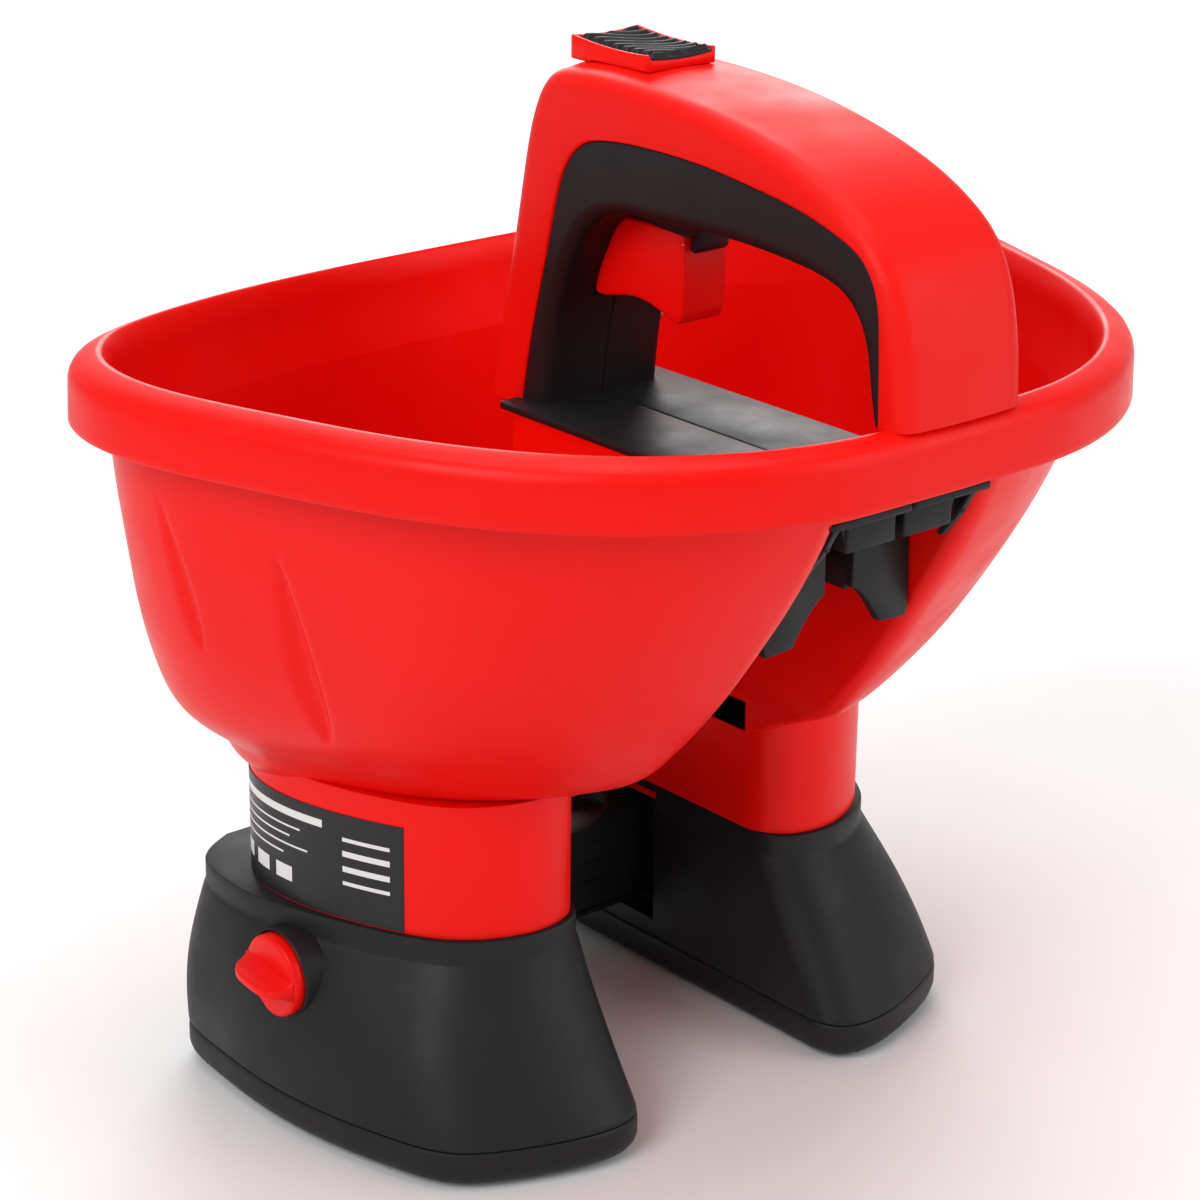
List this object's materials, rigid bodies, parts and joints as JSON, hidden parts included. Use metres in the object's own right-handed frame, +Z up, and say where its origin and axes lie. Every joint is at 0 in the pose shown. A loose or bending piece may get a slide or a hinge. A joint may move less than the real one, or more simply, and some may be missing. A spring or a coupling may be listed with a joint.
{
  "type": "hand-held broadcast spreader",
  "caption": "Hand-held battery spreader: D-shaped hopper on two feet with an arched handle, trigger, flow slide, speed knob and a spinner disc between the feet.",
  "frame": {"origin": "centre of the object's bounding box, on the floor it stands on", "axes": "+Z up, +Y towards the flat side where seed is thrown, +X to the side of the foot with the batteries; X = 0 is the symmetry plane of the hopper and the handle"},
  "size_m": [0.3302, 0.2355, 0.3272],
  "materials": {
    "red_plastic": "satin injection-moulded",
    "black_plastic": "fine-textured matte",
    "grip_plastic": "ribbed satin",
    "grey_plastic": "satin moulded",
    "steel": "zinc plated",
    "motor_can": "drawn steel can",
    "brass": "sintered bronze",
    "rubber": "matte",
    "battery_sleeve": "gloss sleeve",
    "circuit_board": "solder mask",
    "label": "printed film"
  },
  "bodies": {
    "body": {"hopper": "red_plastic", "handle_shell": "red_plastic", "handle_liner_left": "black_plastic", "handle_liner_right": "black_plastic", "handle_screws": "steel", "notch_brace_left": "black_plastic", "notch_brace_right": "black_plastic", "trigger_pin": "steel", "trigger_bezel": "black_plastic", "trigger_spring": "steel", "microswitch": "black_plastic", "foot_left": "black_plastic", "foot_right": "black_plastic", "sole_left": "black_plastic", "sole_right": "black_plastic", "foot_pads_left": "rubber", "foot_pads_right": "rubber", "foot_screws_left": "steel", "foot_screws_right": "steel", "motor_pod": "black_plastic", "motor_pod_cover": "black_plastic", "motor": "motor_can", "shaft_bush": "brass", "knob_ring": "black_plastic", "potentiometer": "black_plastic", "control_board": "circuit_board", "battery_tray": "black_plastic", "battery_contacts": "steel", "battery_cell_1": "battery_sleeve", "battery_cell_2": "battery_sleeve", "battery_cell_3": "battery_sleeve", "battery_cell_4": "battery_sleeve", "door_pin": "steel", "label_plate": "label"},
    "trigger": {"trigger": "red_plastic"},
    "flow_slide": {"slide_frame": "red_plastic", "slide_pad": "grip_plastic", "slide_carriage": "black_plastic"},
    "flow_valve": {"flow_rod": "steel", "flow_plug": "grey_plastic"},
    "spinner": {"spinner_shaft": "steel", "spinner_disc": "black_plastic"},
    "speed_knob": {"speed_knob": "red_plastic"},
    "battery_door": {"battery_door": "black_plastic"}
  },
  "joints": [
    {"name": "trigger_squeeze", "type": "hinge", "parent": "body", "child": "trigger", "pos_m": [0, -0.0095, 0.271], "axis": [1, 0, 0], "range_deg": [0, 8], "stiffness_Nm_per_rad": 0.6, "springref_deg": -8.59, "deforming": ["trigger_spring"]},
    {"name": "flow_slide", "type": "slide", "parent": "body", "child": "flow_slide", "axis": [0, -1, 0], "range_m": [0, 0.01]},
    {"name": "flow_valve_lift", "type": "slide", "parent": "body", "child": "flow_valve", "axis": [0, 0, 1], "range_m": [0, 0.008]},
    {"name": "spinner_spin", "type": "hinge", "parent": "body", "child": "spinner", "pos_m": [0, 0.081, 0.06], "axis": [0, 0, 1], "continuous": true},
    {"name": "speed_knob_turn", "type": "hinge", "parent": "body", "child": "speed_knob", "pos_m": [-0.1166, 0.047, 0.0496], "axis": [-1, 0, 0], "range_deg": [0, 270]},
    {"name": "battery_door_swing", "type": "hinge", "parent": "body", "child": "battery_door", "pos_m": [0.072, 0.1053, 0.0201], "axis": [-1, 0, 0], "range_deg": [0, 90]}
  ],
  "couplings": [
    {"joint": "flow_valve_lift", "follows": "flow_slide", "ratio": 0.8}
  ]
}
